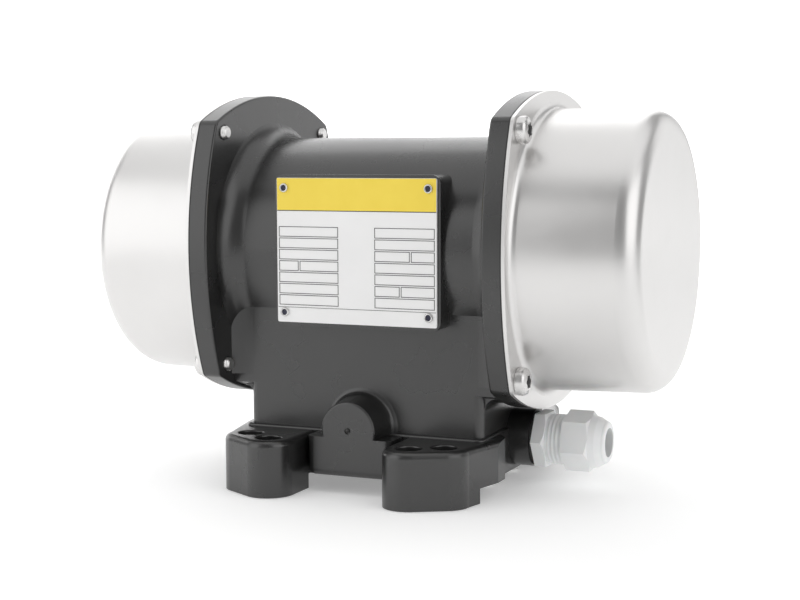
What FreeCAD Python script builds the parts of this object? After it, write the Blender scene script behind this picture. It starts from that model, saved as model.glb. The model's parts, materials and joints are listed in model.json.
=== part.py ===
import FreeCAD, Part
import math
import os
import re
import Sketcher

# External vibration motor: a cast housing on four feet, a deep-drawn cover over each end,
# and a rotor with a fixed and an adjustable eccentric weight at each end of its shaft.
#
# Millimetres, +Z up. The shaft runs along X, the nameplate faces -Y and the cable gland +X.
# The origin lies on the mounting plane, under the middle of the shaft.

SIZES = {
    # housing casting
    "shaft_height": 84,
    "barrel_radius": 40,
    "barrel_bore_radius": 36,
    "flare_radius": 8.4,
    "flare_run": 8,
    "wall_flare_radius": 17,
    "flange_reach": 58.2,
    "flange_thickness": 6.7,
    "flange_corner_width": 44.1,
    "flange_corner_height": 45.6,
    "flange_half_width": 53.2,
    "flange_half_height": 56,
    "flange_corner_radius": 3.5,
    "flange_edge_radius": 0.8,
    "flange_root_radius": 4.5,
    "wall_trim": 1.2,
    "pedestal_half_length": 45,
    "pedestal_half_width": 34,
    "pedestal_corner_radius": 3,
    "pedestal_underside": 5.2,
    "ledge_overhang": 2,
    "ledge_end_overhang": 1.2,
    "ledge_height": 20.6,
    "ledge_edge_radius": 0.8,
    # feet
    "foot_height": 19.7,
    "foot_radius": 9,
    "foot_hole_radius": 4.5,
    "inner_hole_offset": 26.5,
    "inner_hole_reach": 54.5,
    "outer_hole_offset": 37,
    "outer_hole_reach": 48.5,
    "foot_root_offset": 50,
    "foot_root_reach": 31,
    "foot_web_reach": 24,
    "foot_web_end": 16,
    "foot_bite": 2,
    "foot_edge_radius": 2.2,
    "foot_pad_root": 42,
    # bosses on the long walls
    "boss_height": 22.3,
    "boss_reach": 46.5,
    "boss_face_radius": 10.2,
    "boss_root_radius": 11.4,
    "boss_fillet": 2.4,
    "boss_edge_radius": 0.7,
    "boss_dimple_radius": 1.15,
    "boss_dimple_depth": 1.4,
    "block_half_width": 16.2,
    "block_top": 19.7,
    "block_underside": 5.8,
    "block_corner_radius": 3,
    "block_edge_radius": 2.6,
    # nameplate and its pad
    "plate_shift": 1.7,
    "plate_lift": 0.5,
    "plate_width": 60.6,
    "plate_height": 50.7,
    "plate_thickness": 0.8,
    "plate_corner_radius": 0.6,
    "pad_reach": 42,
    "pad_margin": 1.1,
    "pad_corner_radius": 3,
    "rivet_inset_side": 2.9,
    "rivet_inset_end": 3.5,
    "rivet_head_radius": 1.6,
    "rivet_head_height": 0.9,
    "rivet_shank_radius": 1.1,
    "rivet_shank_length": 4,
    # end covers
    "gasket_thickness": 0.5,
    "cover_sheet": 1.2,
    "cover_base_radius": 49.7,
    "cover_end_radius": 48.9,
    "cover_reach": 102.5,
    "cover_corner_radius": 7.5,
    "cover_foot_radius": 2.5,
    "cover_screw_side": 39,
    "cover_screw_rise": 41.8,
    "cover_screw_radius": 2.45,
    "cover_screw_length": 10,
    "cover_screw_head_radius": 4.75,
    "cover_screw_head_height": 3.8,
    "cover_screw_crown": 1.8,
    "cover_screw_socket": 4,
    "cover_screw_socket_depth": 2,
    "tap_chamfer": 0.4,
    # terminal chamber, bottom cover and wiring
    "chamber_half_length": 33,
    "chamber_half_width": 25,
    "chamber_roof": 40,
    "chamber_corner_radius": 4,
    "bottom_cover_thickness": 2,
    "bottom_cover_inset": 2,
    "bottom_cover_side_inset": 4,
    "bottom_screw_offset": 38,
    "bottom_screw_reach": 14,
    "bottom_screw_radius": 1.95,
    "bottom_screw_length": 10,
    "bottom_screw_head_radius": 3.5,
    "bottom_screw_head_height": 1.9,
    "terminal_length": 34,
    "terminal_width": 20,
    "terminal_height": 14,
    "terminal_shift": 12,
    "terminal_pitch": 9,
    "terminal_screw_radius": 2.2,
    "lead_offset": 30,
    "lead_radius": 1.1,
    "lead_pitch": 3,
    "lead_hole_radius": 4.8,
    # cable gland
    "gland_height": 16,
    "gland_boss_radius": 10.3,
    "gland_boss_reach": 53.6,
    "gland_flats": 19,
    "gland_thread_radius": 7.9,
    "gland_ring_thickness": 1,
    "gland_body_hex_reach": 59,
    "gland_collar_radius": 8.8,
    "gland_collar_reach": 65.3,
    "gland_neck_radius": 7.4,
    "gland_neck_length": 6.7,
    "gland_bore_radius": 5.2,
    "gland_seal_radius": 6.3,
    "gland_seal_bore": 4.5,
    "gland_nut_hex_length": 9.7,
    "gland_dome_length": 5.4,
    "gland_mouth_radius": 5.2,
    "gland_dome_radius": 7.6,
    "gland_nut_turn": 15,
    # stator
    "stator_half_length": 25,
    "stator_bore_radius": 21,
    "slot_count": 18,
    "slot_depth_radius": 31,
    "slot_neck_radius": 22.5,
    "slot_width": 5,
    "slot_opening": 2,
    "coil_gap": 0.25,
    "coil_inner_radius": 22.2,
    "coil_outer_radius": 33,
    "coil_start": 27,
    "coil_end": 40,
    # bearings and their shields
    "bearing_bore": 15,
    "bearing_outside": 42,
    "bearing_width": 13,
    "bearing_stand_out": 1.8,
    "race_inner_radius": 11,
    "race_outer_radius": 17.6,
    "ball_pitch_radius": 14.25,
    "ball_radius": 3.9,
    "ball_count": 8,
    "groove_radius": 4.13,
    "cage_thickness": 1.2,
    "cage_width": 9,
    "cage_pocket_radius": 4.15,
    "shield_thickness": 5,
    "shield_radius": 46,
    "shield_lip_radius": 12,
    "shield_hub_radius": 27,
    "shield_hub_lip": 2.5,
    "shield_plug_length": 6.2,
    "shield_screw_circle": 41.3,
    "shield_screw_radius": 1.95,
    "shield_screw_length": 10,
    "shield_screw_head_radius": 3.2,
    "shield_screw_head_height": 2.2,
    "circlip_thickness": 1.75,
    "circlip_depth": 1.1,
    "circlip_band": 3.5,
    "circlip_gap": 7,
    # rotor
    "shaft_middle_radius": 10,
    "shaft_end_radius": 7,
    "cover_end_clearance": 6.5,
    "shaft_end_chamfer": 1,
    "rotor_core_radius": 20.6,
    "rotor_core_half_length": 26,
    "rotor_bar_count": 14,
    "rotor_bar_radius": 1.6,
    "rotor_bar_circle": 17.6,
    "rotor_ring_inner": 13.5,
    "rotor_ring_outer": 20.2,
    "rotor_ring_thickness": 5,
    # eccentric weights
    "spacer_length": 6,
    "shaft_end_margin": 5,
    "weight_spacing": 1,
    "weight_radius": 44,
    "weight_hub_half_width": 13,
    "weight_lug_rise": 24,
    "weight_corner_radius": 3,
    "weight_slot": 3,
    "weight_screw_rise": 16.5,
    "weight_screw_share": 0.25,
    "weight_screw_head_share": 0.4,
    "weight_screw_head_height": 6,
    "weight_nut_height": 5,
    "spacer_radius": 10.8,
    "key_width": 5,
    "key_height": 9,
    "key_seat": 4.5,
    "shaft_ring_thickness": 1,
    "shaft_ring_radius": 10.5,
    "shaft_ring_depth": 0.6,
    # clearances
    "seat_clearance": 0.03,
    "bolt_clearance": 0.3,
    "thread_clearance": 0.05,
    "running_gap": 0.3,
}

LEFT, RIGHT = -1, 1
FRONT, BACK = -1, 1
SIDES = {"left": LEFT, "right": RIGHT}
WORD = re.compile(r"[a-z][a-z_]*[a-z]")

doc = FreeCAD.newDocument("vibration_motor")
sheet = doc.addObject("Spreadsheet::Sheet", "Sizes")
for row, (alias, size) in enumerate(SIZES.items(), 1):
    sheet.set(f"A{row}", alias)
    sheet.set(f"B{row}", str(size))
    sheet.setAlias(f"B{row}", alias)
doc.recompute()

nodes = []


# ---------------------------------------------------------------- expressions and sketches

def sized(expression):
    """The expression with the name of each size pointed at the sheet."""
    return WORD.sub(lambda word: "Sizes." + word[0] if word[0] in SIZES else word[0], expression)


def value(expression):
    return float(sheet.evalExpression(sized(expression)))


def bind(item, prop, expression):
    item.setExpression(prop, sized(expression))


def signed(expression, sign):
    return expression if sign > 0 else f"-({expression})"


def mirrored(points, x_sign=1, y_sign=1):
    """The same outline on the other side of an axis, with its arcs turned round."""
    flipped = []
    for x, y, *bend in points:
        if bend:
            bend = [bend[0], bend[1] * x_sign * y_sign]
        flipped.append((signed(x, x_sign), signed(y, y_sign), *bend))
    return flipped


def new_body(label):
    body = doc.addObject("PartDesign::Body", label)
    body.Label = label
    nodes.append(body)
    return body


def sketch_on(body, plane, **offsets):
    """A sketch on one of the body's own planes, moved by expressions along the sketch's axes."""
    sketch = body.newObject("Sketcher::SketchObject", body.Label + "_sketch")
    support = next(item for item in body.Origin.OriginFeatures if item.Role == plane)
    sketch.AttachmentSupport = [(support, "")]
    sketch.MapMode = "FlatFace"
    for axis, expression in offsets.items():
        bind(sketch, f"AttachmentOffset.Base.{axis}", expression)
    return sketch


def section(body, start):
    """A sketch square to the shaft, centred on it, at a station along X."""
    return sketch_on(body, "YZ_Plane", y="shaft_height", z=start)


def set_size(sketch, kind, geometry, *rest):
    *ends, expression = rest
    constraint = Sketcher.Constraint(kind, geometry, *ends, value(expression))
    number = sketch.addConstraint(constraint)
    bind(sketch, f"Constraints[{number}]", expression)


def bowed(start, finish, radius, turn):
    """The shorter arc between two points, to the left of the way from one to the other if turn > 0."""
    chord = finish - start
    rise = math.sqrt(max(radius ** 2 - (chord.Length / 2) ** 2, 0))
    aside = FreeCAD.Vector(-chord.y, chord.x, 0).normalize() * rise * turn
    centre = (start + finish) * 0.5 + aside
    first, last = (start, finish) if turn > 0 else (finish, start)
    begin = math.atan2(first.y - centre.y, first.x - centre.x)
    end = math.atan2(last.y - centre.y, last.x - centre.x)
    if end < begin:
        end += 2 * math.pi
    circle = Part.Circle(centre, FreeCAD.Vector(0, 0, 1), radius)
    return Part.ArcOfCircle(circle, begin, end)


def draw(sketch, points):
    """A closed outline. A point's third and fourth items are the radius and turn of the arc after it."""
    places = [FreeCAD.Vector(value(point[0]), value(point[1]), 0) for point in points]
    pieces = []
    for index, point in enumerate(points):
        start, finish = places[index], places[(index + 1) % len(points)]
        if len(point) == 2:
            pieces.append((sketch.addGeometry(Part.LineSegment(start, finish)), 1, 2))
            continue
        radius, turn = point[2:]
        number = sketch.addGeometry(bowed(start, finish, value(radius), turn))
        set_size(sketch, "Radius", number, radius)
        pieces.append((number, 1, 2) if turn > 0 else (number, 2, 1))
    for index, (number, first, last) in enumerate(pieces):
        after, after_first, _ = pieces[(index + 1) % len(pieces)]
        sketch.addConstraint(Sketcher.Constraint("Coincident", number, last, after, after_first))
        set_size(sketch, "DistanceX", number, first, points[index][0])
        set_size(sketch, "DistanceY", number, first, points[index][1])


def circle(sketch, x, y, radius):
    centre = FreeCAD.Vector(value(x), value(y), 0)
    number = sketch.addGeometry(Part.Circle(centre, FreeCAD.Vector(0, 0, 1), value(radius)))
    set_size(sketch, "Radius", number, radius)
    set_size(sketch, "DistanceX", number, 3, x)
    set_size(sketch, "DistanceY", number, 3, y)


def rectangle(left, bottom, right, top):
    return [(left, bottom), (right, bottom), (right, top), (left, top)]


def rounded_rectangle(left, bottom, right, top, radius):
    return [
        (f"{left} + {radius}", bottom),
        (f"{right} - {radius}", bottom, radius, 1),
        (right, f"{bottom} + {radius}"),
        (right, f"{top} - {radius}", radius, 1),
        (f"{right} - {radius}", top),
        (f"{left} + {radius}", top, radius, 1),
        (left, f"{top} - {radius}"),
        (left, f"{bottom} + {radius}", radius, 1),
    ]


def hexagon(x, y, flats, turn="0"):
    corner = f"({flats}) / 2 / cos(30)"
    return [
        (f"{x} + {corner} * cos({turn} + {angle})", f"{y} + {corner} * sin({turn} + {angle})")
        for angle in range(0, 360, 60)
    ]


# ---------------------------------------------------------------- features

def pad(body, sketch, length):
    feature = body.newObject("PartDesign::Pad", body.Label + "_pad")
    feature.Profile = sketch
    bind(feature, "Length", length)
    return feature


def cut(body, sketch, length):
    """A pocket along the sketch's own normal."""
    feature = body.newObject("PartDesign::Pocket", body.Label + "_cut")
    feature.Profile = sketch
    feature.Reversed = True
    bind(feature, "Length", length)
    return feature


def turned(body, sketch, kind="Revolution"):
    feature = body.newObject("PartDesign::" + kind, body.Label + "_turn")
    feature.Profile = sketch
    feature.ReferenceAxis = (sketch, ["H_Axis"])
    feature.Angle = 360
    return feature


def pattern_round(body, feature, count):
    """Copies of a feature round the shaft."""
    axis = sketch_on(body, "YZ_Plane", y="shaft_height")
    doc.recompute()
    ring = body.newObject("PartDesign::PolarPattern", body.Label + "_ring")
    ring.Originals = [feature]
    ring.Axis = (axis, ["N_Axis"])
    ring.Angle = 360
    bind(ring, "Occurrences", count)
    body.Tip = ring
    return ring


def round_edges(body, radius, wanted, kind="Fillet"):
    """Round, or chamfer, the edges of the body that the test picks out."""
    doc.recompute()
    base = body.Tip
    names = [f"Edge{number}" for number, edge in enumerate(base.Shape.Edges, 1) if wanted(edge)]
    feature = body.newObject("PartDesign::" + kind, body.Label + "_edges")
    feature.Base = (base, names)
    bind(feature, "Radius" if kind == "Fillet" else "Size", radius)
    return feature


def near(first, second):
    return abs(first - second) < 0.01


def spun(label, points):
    """A node turned about the shaft from one closed profile of (x, radius) points."""
    body = new_body(label)
    profile = sketch_on(body, "XZ_Plane", y="shaft_height")
    draw(profile, points)
    turned(body, profile)
    return body


def tube(near_end, far_end, inner, outer, side):
    """The profile of a plain ring between two stations on one side of the middle."""
    return mirrored(rectangle(near_end, inner, far_end, outer), side)


def station(near_end, far_end, side):
    """Where a section sketch starts, so that its pad runs towards +X between the two ends."""
    return near_end if side > 0 else f"-({far_end})"


def slab(body, near_end, far_end, side, *outlines):
    """A plate square to the shaft, cut from outlines round the shaft's centre."""
    sketch = section(body, station(near_end, far_end, side))
    for points in outlines:
        if len(points) == 3:
            circle(sketch, *points)
        else:
            draw(sketch, points)
    return pad(body, sketch, f"{far_end} - ({near_end})")


def bore(body, near_end, far_end, side, *outlines):
    """A hole square to the shaft's sections, between two stations."""
    sketch = section(body, station(near_end, far_end, side))
    for points in outlines:
        if len(points) == 3:
            circle(sketch, *points)
        else:
            draw(sketch, points)
    return cut(body, sketch, f"{far_end} - ({near_end})")


# ---------------------------------------------------------------- shared outlines and places

FLANGE_END_BOW = "(flange_half_height - flange_corner_height)"
FLANGE_END_RADIUS = f"((flange_corner_width^2 + {FLANGE_END_BOW}^2) / 2 / {FLANGE_END_BOW})"


def flange_outline():
    """Four shallow arcs between four corners, shared by flanges, gaskets and covers."""
    side_bow = "(flange_half_width - flange_corner_width)"
    side_radius = f"(flange_corner_height^2 + {side_bow}^2) / 2 / {side_bow}"
    return [
        ("-flange_corner_width", "-flange_corner_height", FLANGE_END_RADIUS, 1),
        ("flange_corner_width", "-flange_corner_height", side_radius, 1),
        ("flange_corner_width", "flange_corner_height", FLANGE_END_RADIUS, 1),
        ("-flange_corner_width", "flange_corner_height", side_radius, 1),
    ]


def flange_corner(edge):
    """A short edge along the shaft, at a corner of the flange outline."""
    middle = edge.CenterOfMass
    along = edge.BoundBox.XLength > 0.9 * edge.Length
    return (
        along
        and near(abs(middle.y), value("flange_corner_width"))
        and near(abs(middle.z - value("shaft_height")), value("flange_corner_height"))
    )


def cover_screw_places():
    return [
        (signed("cover_screw_side", across), signed("cover_screw_rise", up))
        for across in (-1, 1)
        for up in (-1, 1)
    ]


def shield_screw_places():
    return [
        (f"shield_screw_circle * cos({angle})", f"shield_screw_circle * sin({angle})")
        for angle in (0, 90, 180, 270)
    ]


def circles(places, radius):
    return [(x, y, radius) for x, y in places]


CORNERS = [(x_sign, y_sign) for x_sign in (LEFT, RIGHT) for y_sign in (FRONT, BACK)]
FLANGE_INNER = "(flange_reach - flange_thickness)"
COVER_SEAT = "(flange_reach + gasket_thickness)"
COVER_FACE = "(flange_reach + gasket_thickness + cover_sheet)"
BEARING_OUTER_FACE = "(flange_reach + bearing_stand_out)"
BEARING_INNER_FACE = f"({BEARING_OUTER_FACE} - bearing_width)"
SHIELD_HUB_END = f"({BEARING_INNER_FACE} - shield_hub_lip)"
SHIELD_WEB_START = "(flange_reach - shield_plug_length)"
WEIGHT_START = f"({BEARING_OUTER_FACE} + spacer_length)"
SHIELD_FACE = "(flange_reach + shield_thickness)"
SHAFT_REACH = "(cover_reach - cover_end_clearance)"
WEIGHT_ROOM = f"({SHAFT_REACH} - shaft_end_margin - {WEIGHT_START} - weight_spacing)"
WEIGHT_THICKNESS = f"({WEIGHT_ROOM} / 2)"
WEIGHT_SCREW = f"({WEIGHT_THICKNESS} * weight_screw_share)"
WEIGHT_SCREW_HEAD = f"({WEIGHT_THICKNESS} * weight_screw_head_share)"
NUT_END = "(gland_collar_reach + gland_nut_hex_length)"
GLAND_REACH = f"({NUT_END} + gland_dome_length)"
FLARE_RISE = "(flare_radius - sqrt(flare_radius^2 - flare_run^2))"
WALL_FLARE_RISE = "(wall_flare_radius - sqrt(wall_flare_radius^2 - flare_run^2))"


# ---------------------------------------------------------------- housing

def housing_barrel(body):
    """The round barrel, flared into the inner face of each flange."""
    profile = sketch_on(body, "XZ_Plane", y="shaft_height")
    flare_top = f"barrel_radius + {FLARE_RISE}"
    draw(profile, [
        ("-flange_reach", "0"),
        ("flange_reach", "0"),
        ("flange_reach", flare_top),
        (FLANGE_INNER, flare_top, "flare_radius", -1),
        (f"{FLANGE_INNER} - flare_run", "barrel_radius"),
        (f"-{FLANGE_INNER} + flare_run", "barrel_radius", "flare_radius", -1),
        (f"-{FLANGE_INNER}", flare_top),
        ("-flange_reach", flare_top),
    ])
    turned(body, profile)


def housing_pedestal(body):
    """Upright walls under the barrel, flared into the flanges, on a narrower rounded block."""
    walls = sketch_on(body, "XY_Plane", z="shaft_height - flange_corner_height")
    end, side = FLANGE_INNER, "pedestal_half_width"
    rooted = "(flange_reach - flange_thickness / 2)"
    flared = f"({side} + {WALL_FLARE_RISE})"
    draw(walls, [
        (f"-{rooted}", f"-{flared}"),
        (f"-{end}", f"-{flared}", "wall_flare_radius", -1),
        (f"-{end} + flare_run", f"-{side}"),
        (f"{end} - flare_run", f"-{side}", "wall_flare_radius", -1),
        (end, f"-{flared}"),
        (rooted, f"-{flared}"),
        (rooted, flared),
        (end, flared, "wall_flare_radius", -1),
        (f"{end} - flare_run", side),
        (f"-{end} + flare_run", side, "wall_flare_radius", -1),
        (f"-{end}", flared),
        (f"-{rooted}", flared),
    ])
    pad(body, walls, "flange_corner_height")
    web_radius = f"({FLANGE_END_RADIUS} - wall_trim)"
    web_edge = f"{FLANGE_END_RADIUS} - flange_half_height - sqrt({web_radius}^2 - {side}^2)"
    slab(body, f"-{rooted}", rooted, RIGHT, [
        (f"-{side}", web_edge, web_radius, 1),
        (side, web_edge),
        (side, "-pedestal_half_width / 2"),
        (f"-{side}", "-pedestal_half_width / 2"),
    ])
    foot_block = sketch_on(body, "XY_Plane", z="pedestal_underside")
    length = "pedestal_half_length"
    draw(foot_block, rounded_rectangle(
        f"-{length}", f"-{side}", length, side, "pedestal_corner_radius"))
    pad(body, foot_block, "shaft_height - pedestal_underside")
    straight = f"({side} - pedestal_corner_radius)"
    web_underside = f"(shaft_height + {FLANGE_END_RADIUS} - flange_half_height - sqrt({web_radius}^2 - {straight}^2))"
    gusset = sketch_on(body, "XZ_Plane", z=f"-{straight}")
    radius = "flange_root_radius"
    for hand in (LEFT, RIGHT):
        draw(gusset, mirrored([
            (f"{length} - 1", f"{web_underside} - {radius}"),
            (length, f"{web_underside} - {radius}", radius, -1),
            (f"{length} + {radius}", web_underside),
            (f"{length} + {radius}", f"{web_underside} + 1"),
            (f"{length} - 1", f"{web_underside} + 1"),
        ], hand))
    pad(body, gusset, f"2 * {straight}")


def housing_flanges(body):
    for side in (LEFT, RIGHT):
        slab(body, FLANGE_INNER, "flange_reach", side, flange_outline())
    round_edges(body, "flange_corner_radius", flange_corner)
    round_edges(body, "flange_edge_radius", is_flange_rim)


def is_flange_rim(edge):
    """An edge of the flange's outline, on the face that looks back at the barrel."""
    middle = edge.CenterOfMass
    across = math.hypot(middle.y, middle.z - value("shaft_height"))
    return (
        near(abs(middle.x), value(FLANGE_INNER))
        and edge.BoundBox.XLength < 0.01
        and across > value("barrel_radius + flange_edge_radius") + value(FLARE_RISE)
    )


def housing_ledge(body):
    """The thicker foot of the pedestal, with a rounded upper edge."""
    ledge = sketch_on(body, "XY_Plane", z="pedestal_underside")
    length = "(pedestal_half_length + ledge_end_overhang)"
    width = "(pedestal_half_width + ledge_overhang)"
    draw(ledge, rounded_rectangle(
        f"-{length}", f"-{width}", length, width, "pedestal_corner_radius"))
    pad(body, ledge, "ledge_height - pedestal_underside")
    round_edges(body, "ledge_edge_radius", lambda edge: is_ledge_edge(edge))


def is_ledge_edge(edge):
    box = edge.BoundBox
    level = near(box.ZMin, value("ledge_height")) and near(box.ZMax, value("ledge_height"))
    outside = max(abs(box.YMin), abs(box.YMax)) > value("pedestal_half_width + ledge_overhang") - 0.01
    beyond = max(abs(box.XMin), abs(box.XMax)) > value("pedestal_half_length + ledge_end_overhang") - 0.01
    return level and (outside or beyond)


def foot_outline():
    """One foot: rounded about both hole centres, then widening to its root at the pedestal."""
    run = "(outer_hole_offset - inner_hole_offset)"
    drop = "(inner_hole_reach - outer_hole_reach)"
    span = f"sqrt({run}^2 + {drop}^2)"
    aside, ahead = f"foot_radius * {drop} / {span}", f"foot_radius * {run} / {span}"
    wall = "(pedestal_half_width - foot_bite)"
    end_wall = "(pedestal_half_length - foot_bite / 4)"
    return [
        ("inner_hole_offset - foot_radius", wall),
        ("inner_hole_offset - foot_radius", "inner_hole_reach", "foot_radius", -1),
        (f"inner_hole_offset + {aside}", f"inner_hole_reach + {ahead}"),
        (f"outer_hole_offset + {aside}", f"outer_hole_reach + {ahead}", "foot_radius", -1),
        ("outer_hole_offset + foot_radius", "outer_hole_reach"),
        ("foot_root_offset", "foot_root_reach"),
        ("foot_root_offset", "foot_web_reach"),
        (end_wall, "foot_web_end"),
        (end_wall, f"{wall} - pedestal_corner_radius + foot_bite / 2"),
        ("pedestal_half_length - pedestal_corner_radius + foot_bite / 2", wall),
    ]


def housing_feet(body):
    feet = sketch_on(body, "XY_Plane")
    for x_sign, y_sign in CORNERS:
        draw(feet, mirrored(foot_outline(), x_sign, y_sign))
    pad(body, feet, "foot_height")
    round_edges(body, "foot_edge_radius", is_foot_top_edge)
    holes = sketch_on(body, "XY_Plane")
    for x_sign, y_sign in CORNERS:
        for offset, reach in (("inner_hole_offset", "inner_hole_reach"),
                              ("outer_hole_offset", "outer_hole_reach")):
            circle(holes, signed(offset, x_sign), signed(reach, y_sign), "foot_hole_radius")
    cut(body, holes, "foot_height")
    relief = sketch_on(body, "XY_Plane")
    draw(relief, rectangle("-foot_root_offset - 1", "-foot_pad_root", "foot_root_offset + 1", "foot_pad_root"))
    cut(body, relief, "pedestal_underside")
    round_edges(body, "foot_hole_radius / 8", is_foot_hole_mouth)


def is_foot_top_edge(edge):
    box = edge.BoundBox
    top = value("foot_height")
    level = near(box.ZMin, top) and near(box.ZMax, top)
    return level and abs(edge.CenterOfMass.y) > value("pedestal_half_width + ledge_overhang") + 0.01


def is_foot_hole_mouth(edge):
    box = edge.BoundBox
    top = value("foot_height")
    level = near(box.ZMin, top) and near(box.ZMax, top)
    return level and near(edge.Length, 2 * math.pi * value("foot_hole_radius"))


def housing_bosses(body):
    """On each long wall, a round boss that runs down into a square block."""
    for side in (FRONT, BACK):
        block = sketch_on(body, "XY_Plane", z="block_underside")
        half, face, corner = "block_half_width", "boss_reach", "block_corner_radius"
        draw(block, mirrored([
            (f"-{half}", "0"),
            (half, "0"),
            (half, f"{face} - {corner}", corner, 1),
            (f"{half} - {corner}", face),
            (f"-{half} + {corner}", face, corner, 1),
            (f"-{half}", f"{face} - {corner}"),
        ], 1, side))
        pad(body, block, "block_top - block_underside")
        profile = sketch_on(body, "YZ_Plane", y="boss_height")
        face, edge = "boss_reach", "boss_edge_radius"
        root, fillet = "pedestal_half_width", "boss_fillet"
        draw(profile, mirrored([
            (f"{root} - {fillet}", "0"),
            (face, "0"),
            (face, f"boss_face_radius - {edge}", edge, 1),
            (f"{face} - {edge}", "boss_face_radius"),
            (f"{root} + {fillet}", "boss_root_radius", fillet, -1),
            (root, f"boss_root_radius + {fillet}"),
            (f"{root} - {fillet}", f"boss_root_radius + {fillet}"),
        ], side))
        turned(body, profile)
    round_edges(body, "block_edge_radius", is_block_lower_edge)
    for side in (FRONT, BACK):
        dimple = sketch_on(body, "YZ_Plane", y="boss_height")
        draw(dimple, mirrored([
            ("boss_reach - boss_dimple_depth", "0"),
            ("boss_reach", "0"),
            ("boss_reach", "boss_dimple_radius"),
            ("boss_reach - boss_dimple_depth / 2", "boss_dimple_radius"),
        ], side))
        turned(body, dimple, "Groove")


def is_block_lower_edge(edge):
    box = edge.BoundBox
    bottom = value("block_underside")
    level = near(box.ZMin, bottom) and near(box.ZMax, bottom)
    return level and near(abs(edge.CenterOfMass.y), value("boss_reach"))


def housing_name_pad(body):
    """The flat pad under the nameplate, on the front of the barrel."""
    pad_sketch = sketch_on(body, "XZ_Plane", x="plate_shift", y="shaft_height + plate_lift",
                           z="barrel_radius / 2")
    half_width, half_height = "(plate_width / 2 + pad_margin)", "(plate_height / 2 + pad_margin)"
    draw(pad_sketch, rounded_rectangle(
        f"-{half_width}", f"-{half_height}", half_width, half_height, "pad_corner_radius"))
    pad(body, pad_sketch, "pad_reach - barrel_radius / 2")


def housing_gland_boss(body):
    """The round boss for the cable gland, and the web that carries it on the feet."""
    boss = sketch_on(body, "YZ_Plane", y="gland_height", z="pedestal_half_length - chamber_corner_radius")
    circle(boss, "0", "0", "gland_boss_radius")
    pad(body, boss, "gland_boss_reach - pedestal_half_length + chamber_corner_radius")


def housing_openings(body):
    bore(body, "-flange_reach", "flange_reach", RIGHT, ("0", "0", "barrel_bore_radius"))
    chamber = sketch_on(body, "XY_Plane", z="pedestal_underside")
    length, width = "chamber_half_length", "chamber_half_width"
    draw(chamber, rounded_rectangle(
        f"-{length}", f"-{width}", length, width, "chamber_corner_radius"))
    cut(body, chamber, "chamber_roof - pedestal_underside")
    lead_hole = sketch_on(body, "XY_Plane", z="chamber_roof")
    circle(lead_hole, "lead_offset - lead_hole_radius / 2", "0", "lead_hole_radius")
    cut(body, lead_hole, "shaft_height - barrel_bore_radius - chamber_roof + lead_hole_radius")
    gland_hole = sketch_on(body, "YZ_Plane", y="gland_height", z="chamber_half_length - 1")
    circle(gland_hole, "0", "0", "gland_thread_radius + thread_clearance")
    cut(body, gland_hole, "gland_boss_reach - chamber_half_length + 1")
    bottom_taps = sketch_on(body, "XY_Plane", z="pedestal_underside")
    for x_sign, y_sign in CORNERS:
        circle(bottom_taps, signed("bottom_screw_offset", x_sign),
               signed("bottom_screw_reach", y_sign), "bottom_screw_radius + thread_clearance")
    cut(body, bottom_taps, "bottom_screw_length")
    rivet_holes = sketch_on(body, "XZ_Plane", x="plate_shift", y="shaft_height + plate_lift",
                            z="pad_reach - rivet_shank_length")
    for x, y in rivet_places():
        circle(rivet_holes, x, y, "rivet_shank_radius + thread_clearance")
    cut(body, rivet_holes, "rivet_shank_length")
    for side in (LEFT, RIGHT):
        bore(body, FLANGE_INNER, "flange_reach", side,
             *circles(cover_screw_places(), "cover_screw_radius + thread_clearance"))
        bore(body, "flange_reach - shield_screw_length + shield_thickness", "flange_reach", side,
             *circles(shield_screw_places(), "shield_screw_radius + thread_clearance"))
    round_edges(body, "tap_chamfer", is_tap_mouth, "Chamfer")


def is_tap_mouth(edge):
    middle = edge.CenterOfMass
    return (
        near(abs(middle.x), value(FLANGE_INNER))
        and near(abs(middle.y), value("cover_screw_side"))
        and near(abs(middle.z - value("shaft_height")), value("cover_screw_rise"))
        and edge.BoundBox.XLength < 0.01
    )


def build_housing():
    body = new_body("housing")
    housing_barrel(body)
    housing_flanges(body)
    housing_pedestal(body)
    housing_ledge(body)
    housing_feet(body)
    housing_bosses(body)
    housing_name_pad(body)
    housing_gland_boss(body)
    housing_openings(body)


# ---------------------------------------------------------------- nameplate

def rivet_places():
    x = "(plate_width / 2 - rivet_inset_side)"
    y = "(plate_height / 2 - rivet_inset_end)"
    return [(signed(x, across), signed(y, up)) for across in (-1, 1) for up in (-1, 1)]


def build_nameplate():
    body = new_body("nameplate")
    sketch = sketch_on(body, "XZ_Plane", x="plate_shift", y="shaft_height + plate_lift", z="pad_reach")
    half_width, half_height = "plate_width / 2", "plate_height / 2"
    draw(sketch, rounded_rectangle(
        f"-{half_width}", f"-{half_height}", half_width, half_height, "plate_corner_radius"))
    for x, y in rivet_places():
        circle(sketch, x, y, "rivet_shank_radius + bolt_clearance")
    pad(body, sketch, "plate_thickness")

    rivets = new_body("nameplate_rivets")
    for depth, length, radius in (
            ("pad_reach - rivet_shank_length", "rivet_shank_length + plate_thickness", "rivet_shank_radius"),
            ("pad_reach + plate_thickness", "rivet_head_height", "rivet_head_radius")):
        sketch = sketch_on(rivets, "XZ_Plane", x="plate_shift", y="shaft_height + plate_lift", z=depth)
        for x, y in rivet_places():
            circle(sketch, x, y, radius)
        pad(rivets, sketch, length)
    front = -value("pad_reach + plate_thickness + rivet_head_height")
    round_edges(rivets, "rivet_head_height * 0.8", lambda edge: near(edge.CenterOfMass.y, front))


# ---------------------------------------------------------------- end covers

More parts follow.
